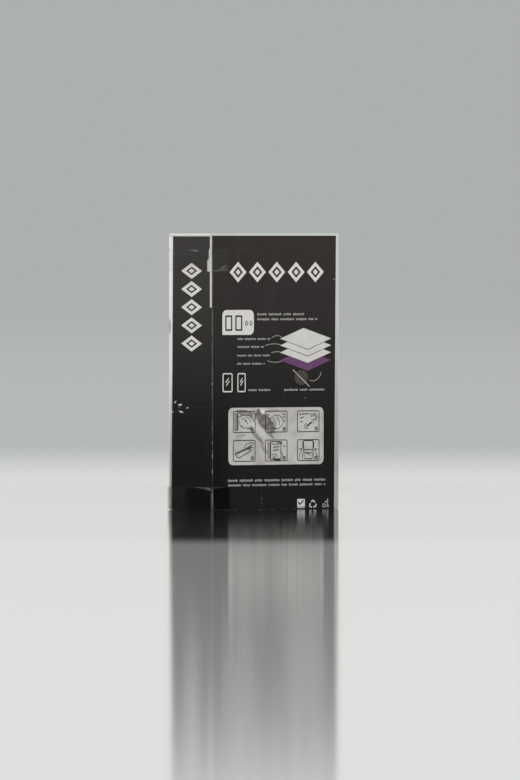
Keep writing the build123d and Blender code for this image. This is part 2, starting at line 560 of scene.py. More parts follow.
class CardFinish(Finish):
    """The carton's card, measured from its sides and its top."""

    def __init__(self, sizes, colours):
        super().__init__("printed_card")
        self.sizes = sizes
        self.colours = colours
        x, y, self.height = self.axes()
        self.from_left = self.math("SUBTRACT", x, LOW.x)
        self.from_right = self.math("SUBTRACT", HIGH.x, x)
        self.from_front = self.math("SUBTRACT", y, LOW.y)
        self.from_back = self.math("SUBTRACT", HIGH.y, y)
        self.from_top = self.math("SUBTRACT", HIGH.z, self.height)
        self.off_seam = self.shaken(self.math("MAXIMUM", self.from_left, self.from_front), *SEAM_EDGE)
        self.on_title = self.under(self.from_left, FACE_DEPTH, FACE_DEPTH / 2)
        self.on_front = self.under(self.from_front, FACE_DEPTH, FACE_DEPTH / 2)
        self.crease = self.gather("MULTIPLY", [
            self.on_title,
            self.under(self.away(self.height, CREASE_HEIGHT), CREASE_HALF, CREASE_SOFT),
            self.under(self.from_front, CREASE_REACH, CREASE_FADE),
        ])

    def between(self, low, high):
        """1 between two heights."""
        above = self.ramp(self.height, low, low + PRINT_EDGE)
        return self.math("MULTIPLY", above, self.under(self.height, high, PRINT_EDGE))

    def margins(self):
        """White margins along the top and the folds, printed up to a slightly uneven line."""
        sizes = self.sizes
        inside = self.gather("MINIMUM", [self.from_left, self.from_right, self.from_front, self.from_back])
        rim = self.under(inside, sizes.top_margin, PRINT_EDGE)
        top_margin = self.ramp(self.on_title, 0.0, 1.0, sizes.top_margin, sizes.title_margin, smooth=False)
        white = [self.under(self.shaken(self.from_top, *TOP_EDGE), top_margin, PRINT_EDGE)]
        folds = (
            (self.from_right, self.from_front, sizes.right_margin_bottom, sizes.right_margin_top),
            (self.from_left, self.from_back, sizes.rear_margin_bottom, sizes.rear_margin_top),
            (self.from_right, self.from_back, sizes.rear_margin_bottom, sizes.rear_margin_bottom),
        )
        for one_side, other_side, at_bottom, at_top in folds:
            gap = self.shaken(self.math("MAXIMUM", one_side, other_side), *FOLD_EDGE)
            margin = self.ramp(self.height, LOW.z, HIGH.z, at_bottom, at_top, smooth=False)
            white.append(self.under(gap, margin, PRINT_EDGE))
        return self.math("MULTIPLY", self.gather("MAXIMUM", white), rim)

    def tears(self):
        """Bare board of the torn strip beside the seam, and of the patch under the upper tape."""
        outermost = self.under(self.from_left, TORN_INSET, PRINT_EDGE)
        strip = self.gather("MULTIPLY", [
            outermost,
            self.under(self.from_front, BARE_BAND, PRINT_EDGE),
            self.under(self.shaken(self.from_top, *TORN_EDGE), TORN_LENGTH, PRINT_EDGE),
        ])
        patch = self.gather("MULTIPLY", [
            outermost,
            self.ramp(self.from_left, *SKIN_DEPTHS),
            self.under(self.from_front, PATCH_REACH, PRINT_EDGE),
            self.between(*PATCH_RANGE),
        ])
        return strip, patch

    def worn(self):
        """Board that shows along the frayed fold, at the chips and at the foot."""
        frayed = self.under(self.off_seam, DASH_WEAR, SEAM_SOFT)
        dashes = [
            self.under(self.shaken(self.away(self.height, place * MM), *DASH_EDGE), half * MM, DASH_SOFT)
            for place, half in FOLD_DASHES
        ]
        seam_foot = self.under(self.height, SEAM_FOOT, SEAM_FOOT_SOFT)
        foot = self.under(self.height, FOOT_WEAR, FOOT_SOFT)
        return self.gather("MAXIMUM", [
            self.gather("MULTIPLY", [frayed, self.gather("MAXIMUM", dashes), self.patches(*BROKEN_DASHES)]),
            self.gather("MULTIPLY", [frayed, seam_foot, SEAM_FOOT_WEAR]),
            self.dabs("title", CHIPS, uneven=0.6),
            self.math("MULTIPLY", foot, self.patches(*WORN_FOOT)),
        ])

    def rubbed(self):
        """Paler print at rubs and scuffs, on the crease and along the seam's raw edge, and painted
        highlights on the title panel.
        """
        raw = self.under(self.off_seam, SEAM_WEAR, SEAM_SOFT)
        return self.gather("MAXIMUM", [
            self.math("MULTIPLY", raw, self.patches(*RAW_EDGE)),
            self.math("MULTIPLY", self.crease, CREASE_WEAR),
            self.dabs("title", TITLE_PAINTED_HIGHLIGHTS, soft=0.6),
            self.dabs("front", FRONT_RUBS, soft=0.5),
            self.patches(*SCUFFS),
        ])

    def painted_fold_shadow(self):
        """A painted shadow line beside the front right fold."""
        place = self.ramp(self.height, LOW.z, HIGH.z, *FOLD_LINE, smooth=False)
        off_line = self.shaken(self.away(self.from_right, place), *LINE_EDGE)
        return self.under(off_line, FOLD_LINE_HALF, FOLD_LINE_SOFT)

    def board(self, bare, patch):
        """White board, cleaner at the top and greyer lower down and on the front as painted shade, greyer on
        the rear margin lower down, with a painted shadow line beside the front right fold, and stained lower
        down.
        """
        colours = self.colours
        high_up = self.ramp(self.height, *BOARD_PAINTED_SHADE_RANGE)
        lower = self.ramp(self.from_top, *LOWER_DIRT_AND_SHADE)
        rear = self.math(
            "MULTIPLY",
            self.ramp(self.from_back, *REAR_GREYING),
            self.ramp(high_up, 0.0, 1.0, 1.0, REAR_GREYING_TOP),
        )
        # Board on the front: painted shade, darker still towards the foot
        front_painted_shade = self.mix(self.ramp(self.height, *FRONT_PAINTED_SHADE), colours.board_worn_and_painted_shade, colours.stain_and_shade)
        stain_and_shade_masks = (
            self.math("MULTIPLY", self.patches(*DIRT), lower),
            self.gather("MULTIPLY", [self.painted_fold_shadow(), lower, FOLD_LINE_SHADE]),
            self.dabs("title", REAR_STAINS, soft=0.5),
            self.math("MULTIPLY", patch, self.ramp(self.from_front, BARE_BAND, PATCH_REACH, *PATCH_DIRT)),
        )
        board = self.mix(high_up, colours.board_foot_painted_shade, colours.board)
        board = self.mix(rear, board, colours.stain_and_shade)
        board = self.mix(self.on_front, board, front_painted_shade)
        board = self.mix(self.under(self.from_top, RIM_WEAR, RIM_WEAR / 2), board, colours.board_worn_and_painted_shade)
        for stain_and_shade in stain_and_shade_masks:
            board = self.mix(stain_and_shade, board, colours.stain_and_shade)
        return self.mix(self.math("MULTIPLY", bare, self.noise(*FIBRE_SPECKS)), board, colours.fibre)

    def ink(self):
        """Black print, lighter towards the top and darker at the foot as painted light and shade, with the
        title panel's deeper painted shade beside the front left fold.
        """
        colours = self.colours
        painted_lighter = self.ramp(self.height, *INK_PAINTED_LIGHT_RANGE)
        title = self.mix(painted_lighter, colours.title_foot_painted_shade, colours.title_top_painted_light)
        front = self.mix(painted_lighter, colours.black_foot_painted_shade, colours.black_top_painted_light)
        off_fold = self.ramp(self.from_left, 0.0, FOLD_PAINTED_SHADE_REACH)
        walls = self.mix(self.math("MAXIMUM", off_fold, painted_lighter), title, front)
        return self.mix(self.on_title, walls, title)

    def varnish(self, pale):
        """Satin shine, duller under the upper tape and rougher where the board is bare."""
        foot = TAPES["tape_upper"][0]
        taped = self.math("MULTIPLY", self.on_title, self.between(foot * MM, (foot + TAPE_WIDTH) * MM))
        shine = self.ramp(self.height, *SHINE_RANGE, *VARNISH_SHINE)
        self.set(
            Specular_IOR_Level=self.math("MULTIPLY", shine, self.ramp(taped, 0.0, 1.0, 1.0, TAPED_SHINE)),
            Roughness=self.ramp(pale, 0.0, 1.0, self.patches(*SATIN), BOARD_ROUGHNESS, smooth=False),
        )

    def surface(self, bare):
        """Paper grain, slow waves of the panels, a dent along the crease and torn fibres."""
        self.bump(self.gather("ADD", [
            self.relief(*PAPER_GRAIN),
            self.relief(*PANEL_WAVES),
            self.math("MULTIPLY", self.crease, CREASE_DENT),
            self.math("MULTIPLY", bare, self.relief(*TORN_FIBRES)),
        ]))


def card_finish(sizes, colours):
    """Black print under a satin varnish, with white margins, bare board at cuts and tears, wear, and painted
    light and shade.
    """
    card = CardFinish(sizes, colours)
    strip, patch = card.tears()
    bare = card.gather("MAXIMUM", [strip, patch, card.worn()])
    pale = card.gather("MAXIMUM", [card.margins(), bare, card.rubbed()])
    card.set(Base_Color=card.mix(pale, card.ink(), card.board(bare, patch)))
    card.varnish(pale)
    card.surface(bare)
    return card.material


# Print: how far each ink is rubbed, its patches, flecks and satin, and how dark it is where thin or rubbed
PRINT_RUB = 0.5
LINE_RUB = 0.1
PURPLE_RUB = 0.9
DRAWING_RUB = 0.2
INK_PATCHES = ((180.0, 4.0), 0.35, 0.75, 0.0, 0.4)
INK_FLECKS = ((1700.0, 3.0), 0.6, 0.74)
INK_SATIN = ((200.0, 2.0), 0.3, 0.7, 0.38, 0.5)
INK_SHINE = 0.3
THIN_INK = 0.8
RUBBED_INK = 0.4


def ink_finish(name, colour, rub=PRINT_RUB):
    """Printed ink under the varnish, a little uneven, with fine rubbed flecks."""
    made = bpy.data.materials.get(name)
    if made:
        return made
    ink = Finish(name)
    thin = ink.mix(ink.patches(*INK_PATCHES), colour, darker(colour, THIN_INK))
    flecks = ink.math("MULTIPLY", ink.patches(*INK_FLECKS), rub)
    ink.set(Base_Color=ink.mix(flecks, thin, darker(colour, RUBBED_INK)))
    ink.set(Specular_IOR_Level=INK_SHINE, Roughness=ink.patches(*INK_SATIN))
    ink.bump(ink.relief(*PAPER_GRAIN))
    return ink.material


# Painted reflection, as dark patches, and painted bright spots of the foil, as dabs on the front
FOIL_PAINTED_REFLECTIONS = (
    (26.6, 60.3, 7.6, 1.9, -8.0, 0.8),
    (43.4, 54.6, 10.4, 4.2, -37.0, 0.95),
    (36.2, 45.8, 7.6, 1.4, -41.0, 0.75),
    (47.8, 46.4, 4.2, 1.2, -33.0, 0.7),
    (42.3, 37.6, 3.8, 1.4, -50.0, 0.5),
    (22.8, 46.0, 4.4, 0.8, 8.0, 0.4),
    (48.5, 61.2, 7.0, 1.0, 4.0, 0.35),
    (59.0, 30.6, 6.5, 0.35, -17.0, 0.4),
    (84.0, 59.0, 4.6, 1.2, -25.0, 0.25),
)
FOIL_PAINTED_GLINTS = (
    (41.2, 60.9, 2.0, 1.3, -10.0, 0.9),
    (39.4, 48.8, 6.4, 0.9, -40.0, 0.25),
    (32.6, 53.0, 4.0, 1.6, -50.0, 0.4),
    (55.0, 52.0, 3.0, 2.4, 0.0, 0.3),
)


# Patchy looks and uneven surfaces of the foil, as on the card
# Streaks break up the painted reflection, and clouds add random darker patches in its colour
FOIL_STREAKS = ((330.0, 5.0, (0.5, 1.0, 1.4)), 0.3, 0.7, 0.7, 1.0)
FOIL_CLOUDS = ((90.0, 4.0), 0.4, 0.75, 0.0, 0.3)
FOIL_WARMTH = ((55.0, 3.0), 0.4, 0.7)
FOIL_SATIN = ((160.0, 3.0), 0.3, 0.7, 0.34, 0.48)
FOIL_CRUMPLE = ((70.0, 3.0), 0.25 * MM)
FOIL_GRAIN = ((1800.0, 2.0), 0.003 * MM)
FOIL_METAL = 0.75


def foil_finish(colours):
    """Silver foil, softly crumpled, with a painted reflection as dark patches across its upper half, darker
    clouds and painted bright spots.
    """
    foil = Finish("silver_foil")
    painted_reflections = foil.dabs("front", FOIL_PAINTED_REFLECTIONS, uneven=0.5, soft=0.14, grain=380.0)
    streaked = foil.math("MULTIPLY", painted_reflections, foil.patches(*FOIL_STREAKS))
    reflection_and_clouds = foil.math("MAXIMUM", streaked, foil.patches(*FOIL_CLOUDS))
    painted_glints = foil.dabs("front", FOIL_PAINTED_GLINTS, uneven=0.8, soft=0.5, grain=420.0)
    silver = foil.mix(foil.patches(*FOIL_WARMTH), colours.foil, colours.foil_warm)
    silver = foil.mix(reflection_and_clouds, silver, colours.foil_painted_reflection)
    silver = foil.mix(painted_glints, silver, colours.foil_painted_glint)
    foil.set(Base_Color=silver, Metallic=FOIL_METAL, Roughness=foil.patches(*FOIL_SATIN))
    foil.bump(foil.math("ADD", foil.relief(*FOIL_CRUMPLE), foil.relief(*FOIL_GRAIN)))
    return foil.material


def tape_finish(name, bottom, films, front_haze, smears_and_glint, colours):
    """Clear glossy film over the card, hazy at its edges, with smudges, lifted places and a painted glint;
    its tint darkens the card beneath, partly as painted shade.
    """
    tape = Finish(name)
    _, y, z = tape.axes()
    from_front = tape.math("SUBTRACT", y, LOW.y)
    at_rear = tape.ramp(from_front, TAPE_REAR[0] * MM, TAPE_REAR[1] * MM)
    at_fold = tape.ramp(from_front, 0.0, TAPE_FOLD * MM, films[0], films[1])
    # The film's tint: darker beside the front fold as painted shade for a dark reflection, on top of the
    # real darkening where film wets the card
    clear = tape.add("ShaderNodeBsdfTransparent")
    tape.put(clear.inputs["Color"], tape.ramp(at_rear, 0.0, 1.0, at_fold, films[2], smooth=False))
    mirror = tape.add("ShaderNodeBsdfGlossy")
    tape.put(mirror.inputs["Roughness"], TAPE_ROUGHNESS)
    grazing = tape.math("POWER", tape.add("ShaderNodeLayerWeight").outputs["Facing"], TAPE_GRAZING)
    shine = tape.ramp(grazing, 0.0, 1.0, TAPE_SHINE, 1.0, smooth=False)

    half = TAPE_WIDTH / 2
    from_middle = tape.away(z, (bottom + half) * MM)
    edge = tape.ramp(from_middle, (half - TAPE_EDGE_WIDTH) * MM, half * MM, 0.0, TAPE_EDGE)
    dusty = tape.ramp(from_front, 0.0, TAPE_FOLD * MM, front_haze, 0.0)
    smears_and_glint_dabs = [tape.dabs(panel, shapes, uneven=0.5, soft=0.5) for panel, shapes in smears_and_glint.items()]
    broken = tape.math("MULTIPLY", tape.gather("ADD", smears_and_glint_dabs), tape.patches(*TAPE_SMEAR_AND_GLINT_PATCHES))
    dull = tape.gather("ADD", [edge, dusty, broken])
    film = tape.blend(shine, clear, mirror)
    tape.put(tape.out.inputs["Surface"], tape.blend(dull, film, tape.shader).outputs[0])
    tape.set(Base_Color=colours.tape, Roughness=TAPE_HAZE_ROUGHNESS)
    tape.bump(tape.relief(*TAPE_RIPPLE))
    return tape.material


# Choices that a user would change

def length(name, description, millimetres):
    """A size that can be changed, with its default in millimetres."""
    return bpy.props.FloatProperty(
        name=name, description=description, default=millimetres * MM, min=0.0, precision=5, unit="LENGTH"
    )


def shade(name, description, red, green, blue):
    """A colour that can be changed, with its default as 8-bit screen levels."""
    return bpy.props.FloatVectorProperty(
        name=name, description=description, default=linear(red, green, blue), size=3, min=0.0, max=1.0,
        subtype="COLOR",
    )


class CartonSizes(bpy.types.PropertyGroup):
    """White margins of the printed card."""

    top_margin: length("Top margin", "Margin along the top end", 1.55)
    title_margin: length("Top margin, title", "Margin along the title panel's top end", 1.9)
    right_margin_top: length("Right margin, top", "Margin at the front's right fold, at the top", 2.5)
    right_margin_bottom: length("Right margin, bottom", "Margin at the front's right fold, at the foot", 4.1)
    rear_margin_top: length("Rear margin, top", "Margin at the title panel's rear fold, at the top", 4.35)
    rear_margin_bottom: length("Rear margin, bottom", "Margin at the rear folds, at the foot", 3.0)


class CartonColours(bpy.types.PropertyGroup):
    """Colours of the card, the inks, the foil and the tape."""

    # Painted light and shade: each black is lighter at the top and darker at the foot, and the title panel's
    # pair is a more strongly lit and shaded copy of the front's
    black_top_painted_light: shade("Black, top", "Black print near the top, a little faded", 43, 39, 38)
    black_foot_painted_shade: shade("Black, foot", "Black print near the foot", 22, 20, 20)
    title_top_painted_light: shade("Title panel, top", "Black print near the title panel's top", 51, 48, 47)
    title_foot_painted_shade: shade("Title panel, foot", "Black print near the title panel's foot", 8, 7, 7)
    board: shade("Board", "White board at margins, cuts and tears", 218, 218, 215)
    # Painted shade: the board's greyer foot
    board_foot_painted_shade: shade("Board, foot", "White board near the foot, greyed by handling", 182, 181, 177)
    # On the front this colour is painted shade; along the top it is wear
    board_worn_and_painted_shade: shade("Board, worn", "White board on the front and along the top", 188, 188, 185)
    # Also painted shade on the front's board and in the painted shadow line beside the front right fold
    stain_and_shade: shade("Stain", "Dirt on the white board", 132, 126, 116)
    fibre: shade("Fibre", "Shadowed fibres of torn board", 182, 179, 173)
    pale_ink: shade("Pale ink", "Title, badge and signs", 204, 200, 198)
    text_ink: shade("Text ink", "Mock text and thin lines", 160, 157, 156)
    sheet_ink: shade("Sheet ink", "Upper sheets of the layer drawing", 194, 191, 188)
    line_ink: shade("Line ink", "Dark lines on pale print", 34, 32, 31)
    purple_ink: shade("Purple ink", "Lowest sheet of the layer drawing", 94, 52, 95)
    brown_ink: shade("Brown ink", "Disc of the bubble drawing", 58, 52, 47)
    foil: shade("Foil", "Silver foil", 196, 193, 190)
    foil_warm: shade("Foil, warm", "Warmer patches of the foil", 190, 186, 181)
    # Painted reflection in the foil
    foil_painted_reflection: shade("Foil, dark", "Smoky shades in the foil", 84, 78, 74)
    # Painted bright spots in the foil
    foil_painted_glint: shade("Foil, bright", "Bright spots in the foil", 226, 223, 218)
    drawing_ink: shade("Drawing ink", "Line drawings on the foil", 40, 37, 35)
    tape: shade("Tape", "Haze and dust of the tape", 178, 178, 174)


class CartonStage(bpy.types.PropertyGroup):
    """Camera, floor and light."""

    azimuth: bpy.props.FloatProperty(
        name="Azimuth", description="Camera's direction about the carton, from its front",
        default=math.radians(-40.5), subtype="ANGLE",
    )
    distance: bpy.props.FloatProperty(
        name="Distance", description="Camera's distance from the carton's axis", default=9.5, unit="LENGTH"
    )
    eye: length("Eye level", "Camera's height above the floor", 172.0)
    aim_right: length("Aim, right", "Middle of the picture, right of the carton's axis", 3.8)
    aim_up: length("Aim, up", "Middle of the picture, above the floor", 74.2)
    view_height: length("View height", "Height of the picture at the carton", 486.5)
    floor: shade("Floor", "Pale floor", 232, 235, 232)
    haze: shade("Haze", "Floor far behind the carton", 182, 185, 184)
    wall: shade("Wall", "Grey ground behind the floor", 173, 176, 175)
    room: shade("Room", "Soft light from all round", 204, 206, 205)
    horizon: shade("Horizon", "Soft light from close above the floor", 246, 248, 246)


# Pieces

TITLE_SPAN = (14.2, 91.4)
TITLE_RANGE = (141.4, 154.2)
TITLE_GAP = 2.0
SIDE_TITLE_SPAN = (9.7, 29.6)
SIDE_TITLE_RANGE = (98.5, 153.5)
SIDE_TITLE_GAP = 1.4
TITLE_COUNT = 5
TITLE_STROKE = 2.0
# Size of the small diamond as a share of its ring
TITLE_HEART = 0.3


def title_row(first, last, gap, low, high, upright):
    """A run of ringed diamonds, each with a small diamond in it, along a panel or up it."""
    pitch = (last - first + gap) / TITLE_COUNT
    half = (pitch - gap) / 2
    cross_half = (high - low) / 2
    run_middle = first + half
    cross_middle = low + cross_half
    middle = (cross_middle, run_middle) if upright else (run_middle, cross_middle)
    spans = (cross_half, half) if upright else (half, cross_half)
    steps = [(0.0, pitch * n) if upright else (pitch * n, 0.0) for n in range(1, TITLE_COUNT)]
    ring = outline(diamond(middle, *spans), TITLE_STROKE)
    heart = diamond(middle, spans[0] * TITLE_HEART, spans[1] * TITLE_HEART)
    return copies(ring, steps) + copies(heart, steps)


class CARTON_OT_card(bpy.types.Operator):
    """Give the folded card its print, white margins, bare board and wear"""

    bl_idname = "carton.card"
    bl_label = "Card"

    def execute(self, context):
        finish = card_finish(context.scene.carton_sizes, context.scene.carton_colours)
        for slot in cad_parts["carton"].material_slots:
            slot.material = finish
        return {"FINISHED"}


class CARTON_OT_titles(bpy.types.Operator):
    """Print the row of diamonds on the front and up the two side panels"""

    bl_idname = "carton.titles"
    bl_label = "Title rows"

    def execute(self, context):
        pale = ink_finish("pale_ink", context.scene.carton_colours.pale_ink)
        row = title_row(*TITLE_SPAN, TITLE_GAP, *TITLE_RANGE, upright=False)
        print_on("front", "title_front", row, pale)
        depth = SIZE.y / MM
        spans = {
            "title": (depth - SIDE_TITLE_SPAN[1], depth - SIDE_TITLE_SPAN[0]),
            "right": SIDE_TITLE_SPAN,
        }
        for panel, span in spans.items():
            row = title_row(*SIDE_TITLE_RANGE, SIDE_TITLE_GAP, *span, upright=True)
            print_on(panel, f"title_side_{panel}", row, pale)
        return {"FINISHED"}


BADGE = ((8.3, 108.8), (34.0, 124.3))
BADGE_CORNER = 3.4
BADGE_SHEET = ((10.6, 111.3), (16.4, 121.0))
BADGE_SHEET_STEP = 8.2
BADGE_SHEET_CORNER = 0.8
BADGE_STROKE = 1.1
BADGE_DIAMOND = (28.0, 116.0)
BADGE_DIAMOND_HALF = (1.5, 1.9)
BADGE_DIAMOND_STEP = 3.6
BADGE_DIAMOND_STROKE = 0.5


class CARTON_OT_badge(bpy.types.Operator):
    """Print the pale badge with two sheets and two diamonds on it"""

    bl_idname = "carton.badge"
    bl_label = "Badge"

    def execute(self, context):
        colours = context.scene.carton_colours
        square = Vector((BADGE[0][0] * MM, BADGE[0][1] * MM, 0.0))
        field = plate(*BADGE, BADGE_CORNER, lambda spot: (spot - square).length > MM)
        print_on("front", "badge", [field], ink_finish("pale_ink", colours.pale_ink))
        sheet = outline(plate(*BADGE_SHEET, BADGE_SHEET_CORNER), BADGE_STROKE)
        gem = outline(diamond(BADGE_DIAMOND, *BADGE_DIAMOND_HALF), BADGE_DIAMOND_STROKE)
        marks = copies(sheet, [(BADGE_SHEET_STEP, 0.0)]) + copies(gem, [(BADGE_DIAMOND_STEP, 0.0)])
        dark = ink_finish("line_ink", colours.line_ink, LINE_RUB)
        print_on("front", "badge_marks", marks, dark, INK_STEP)
        return {"FINISHED"}


# Mock text by its start, end, middle height, letter height and number of letters
SMALL_TEXT = (
    (36.9, 75.5, 121.5, 1.8, 25),
    (36.8, 86.2, 118.4, 1.8, 34),
    (20.7, 47.5, 106.2, 1.6, 23),
    (20.7, 42.5, 101.3, 1.6, 18),
    (20.6, 47.3, 95.9, 1.6, 22),
    (20.5, 43.1, 90.8, 1.6, 19),
    (29.6, 47.7, 74.4, 1.7, 13),
    (59.1, 92.4, 74.4, 1.7, 21),
)
BOLD_TEXT = (
    (13.1, 92.9, 18.2, 1.9, 51),
    (13.1, 92.9, 15.3, 1.8, 53),
)
BACK_TEXT_SPAN = (14.0, 90.0)
BACK_TEXT_TOP = 128.0
BACK_TEXT_PITCH = 5.0
BACK_TEXT_HEIGHT = 1.8
BACK_TEXT_LETTERS = (46, 44, 30, 47, 41, 24)


class CARTON_OT_text(bpy.types.Operator):
    """Print the mock text lines of the front, and a title row and text on the back"""

    bl_idname = "carton.text"
    bl_label = "Text lines"

    def execute(self, context):
        colours = context.scene.carton_colours
        grey = ink_finish("text_ink", colours.text_ink)
        pale = ink_finish("pale_ink", colours.pale_ink)
        small = [text_line(*line, first) for first, line in enumerate(SMALL_TEXT)]
        print_on("front", "text_small", small, grey)
        bold = [text_line(*line, first) for first, line in enumerate(BOLD_TEXT)]
        print_on("front", "text_bold", bold, grey)
        start, end = BACK_TEXT_SPAN
        block = []
        for row, letters in enumerate(BACK_TEXT_LETTERS):
            reach = start + (end - start) * letters / max(BACK_TEXT_LETTERS)
            middle = BACK_TEXT_TOP - row * BACK_TEXT_PITCH
            block.append(text_line(start, reach, middle, BACK_TEXT_HEIGHT, letters, row))
        print_on("back", "text_back", block, grey)
        title = title_row(*TITLE_SPAN, TITLE_GAP, *TITLE_RANGE, upright=False)
        print_on("back", "title_back", title, pale)
        return {"FINISHED"}


STACK_MIDDLE = (76.4, 106.3)
STACK_HALF = (21.0, 6.6)
STACK_LEAN = 1.8
STACK_DROPS = (13.45, 8.63, 4.19, 0.0)
STACK_EDGE = 0.45
# Curved leaders from the text to the sheets, by start, end and rise
LEADERS = (
    ((48.6, 106.6), (58.2, 106.1), 1.7),
    ((43.9, 102.1), (58.1, 101.8), 1.0),
    ((48.9, 97.6), (58.0, 97.6), 0.4),
    ((45.0, 92.8), (57.9, 92.8), -1.0),
)
LEADER_STROKE = 0.34


def sheet_of_stack(drop, grow=0.0):
    """One leaning diamond of the layer drawing."""
    middle = (STACK_MIDDLE[0], STACK_MIDDLE[1] - drop)
    flat = diamond(middle, STACK_HALF[0] + 2 * grow, STACK_HALF[1] + grow)
    for side in (1, -1):
        pick(flat, "VERT", lambda spot: side * (spot.y / MM - middle[1]) > STACK_HALF[1] / 2)
        bpy.ops.transform.translate(value=(-side * STACK_LEAN * MM, 0.0, 0.0))
        done()
    return flat


class CARTON_OT_layers(bpy.types.Operator):
    """Print the drawing of four stacked sheets with its leaders"""

    bl_idname = "carton.layers"
    bl_label = "Layer drawing"

    def execute(self, context):
        colours = context.scene.carton_colours
        purple = ink_finish("purple_ink", colours.purple_ink, PURPLE_RUB)
        pale = ink_finish("sheet_ink", colours.sheet_ink, LINE_RUB)
        dark = ink_finish("line_ink", colours.line_ink, LINE_RUB)
        for level, drop in enumerate(STACK_DROPS):
            if level:
                lift = (2 * level - 1) * INK_STEP
                edge = sheet_of_stack(drop, STACK_EDGE)
                print_on("front", f"layer_edge_{level}", [edge], dark, lift)
            finish, slot = (pale, "pale_ink") if level else (purple, "purple_ink")
            print_on("front", f"layer_{level}", [sheet_of_stack(drop)], finish, 2 * level * INK_STEP)
        leaders = [arc(*leader, LEADER_STROKE) for leader in LEADERS]
        print_on("front", "layer_leaders", leaders, ink_finish("text_ink", colours.text_ink))
        return {"FINISHED"}


MARK_SHEETS = (((8.5, 73.2), (16.6, 85.1)), ((20.6, 73.2), (27.3, 85.1)))
MARK_CORNER = 1.2
MARK_STROKE = 0.75
# Two gleams on each sheet, by the ends of their lines as shares of its width and height
MARK_GLEAMS = ((0.3, 0.5, 0.62, 0.74), (0.36, 0.34, 0.7, 0.6))
MARK_GLEAM_STROKE = 0.6
BUBBLE = (72.9, 82.1)
BUBBLE_RADII = (5.5, 4.7)
BUBBLE_LINE = ((66.0, 86.9), (79.7, 76.3))
BUBBLE_ARC = ((79.8, 80.5), (89.0, 85.4), -2.4)
BUBBLE_STROKES = (0.6, 0.3)


class CARTON_OT_marks(bpy.types.Operator):
    """Print the two outlined sheets and the struck-out bubble"""

    bl_idname = "carton.marks"
    bl_label = "Sheet and bubble marks"

    def execute(self, context):
        colours = context.scene.carton_colours
        pale = ink_finish("pale_ink", colours.pale_ink)
        shapes = []
        for low, high in MARK_SHEETS:
            shapes.append(outline(plate(low, high, MARK_CORNER), MARK_STROKE))
            size = Vector(high) - Vector(low)
            for left, bottom, right, top in MARK_GLEAMS:
                start = (low[0] + left * size.x, low[1] + bottom * size.y)
                end = (low[0] + right * size.x, low[1] + top * size.y)
                shapes.append(bar(start, end, MARK_GLEAM_STROKE))
        print_on("front", "sheet_marks", shapes, pale)
        brown = ink_finish("brown_ink", colours.brown_ink)
        print_on("front", "bubble", [oval(BUBBLE, *BUBBLE_RADII)], brown)
        strokes = [bar(*BUBBLE_LINE, BUBBLE_STROKES[0]), arc(*BUBBLE_ARC, BUBBLE_STROKES[1])]
        grey = ink_finish("text_ink", colours.text_ink)
        print_on("front", "bubble_strokes", strokes, grey, INK_STEP)
        return {"FINISHED"}


FOIL = ((13.2, 27.9), (91.2, 63.5))
FOIL_CORNER = 3.4
FRAME_COLUMNS = (26.1, 52.3, 78.6)
FRAME_ROWS = (54.7, 36.7)
FRAME_HALF = (9.2, 6.8)
FRAME_CORNER = 1.2
FRAME_STROKE = 0.6
# Small ring in the lower right corner of each frame
DOT_PLACE = (6.6, -4.6)
DOT_RADII = (1.3, 1.2)
DOT_STROKE = 0.75
DRAW_STROKE = 0.6
HEAVY_STROKE = 1.1
FINE_STROKE = 0.45
SMALL_CORNERS = 20


class CARTON_OT_foil(bpy.types.Operator):
    """Lay the silver foil panel with its six framed line drawings"""

    bl_idname = "carton.foil"
    bl_label = "Foil panel"

    def execute(self, context):
        colours = context.scene.carton_colours
        print_on("front", "foil_panel", [plate(*FOIL, FOIL_CORNER)], foil_finish(colours))
        places = [(u, v) for v in FRAME_ROWS for u in FRAME_COLUMNS]
        across, up = places[0]
        steps = [(u - across, v - up) for u, v in places[1:]]
        corners = [(across + side * FRAME_HALF[0], up + side * FRAME_HALF[1]) for side in (-1, 1)]
        border = outline(plate(*corners, FRAME_CORNER), FRAME_STROKE)
        disc = oval((across + DOT_PLACE[0], up + DOT_PLACE[1]), *DOT_RADII, SMALL_CORNERS)
        shapes = copies(border, steps) + copies(outline(disc, DOT_STROKE), steps)
        drawings = (wiping, drying, peeling, lifting, laying, pressing)
        for draw, (u, v) in zip(drawings, places):
            shapes += draw(u, v)
        ink = ink_finish("drawing_ink", colours.drawing_ink, DRAWING_RUB)
        print_on("front", "foil_drawings", shapes, ink, INK_STEP)
        return {"FINISHED"}


def box_line(u, v, left, low, right, high, corner=0.7):
    """A rounded box outline by its sides, given from the middle of a frame."""
    return outline(plate((u + left, v + low), (u + right, v + high), corner), DRAW_STROKE)


def lines(u, v, ends, stroke=DRAW_STROKE):
    """Straight strokes by their ends, given from the middle of a frame."""
    return [bar((u + a, v + b), (u + c, v + d), stroke) for a, b, c, d in ends]


def bows(u, v, bends, stroke=FINE_STROKE):
    """Curved strokes by their ends and rise, given from the middle of a frame."""
    return [arc((u + a, v + b), (u + c, v + d), rise, stroke) for a, b, c, d, rise in bends]


def rings(u, v, places, across, up):
    """Small ovals by their middles, given from the middle of a frame."""
    return [outline(oval((u + a, v + b), across, up, SMALL_CORNERS), FINE_STROKE) for a, b in places]


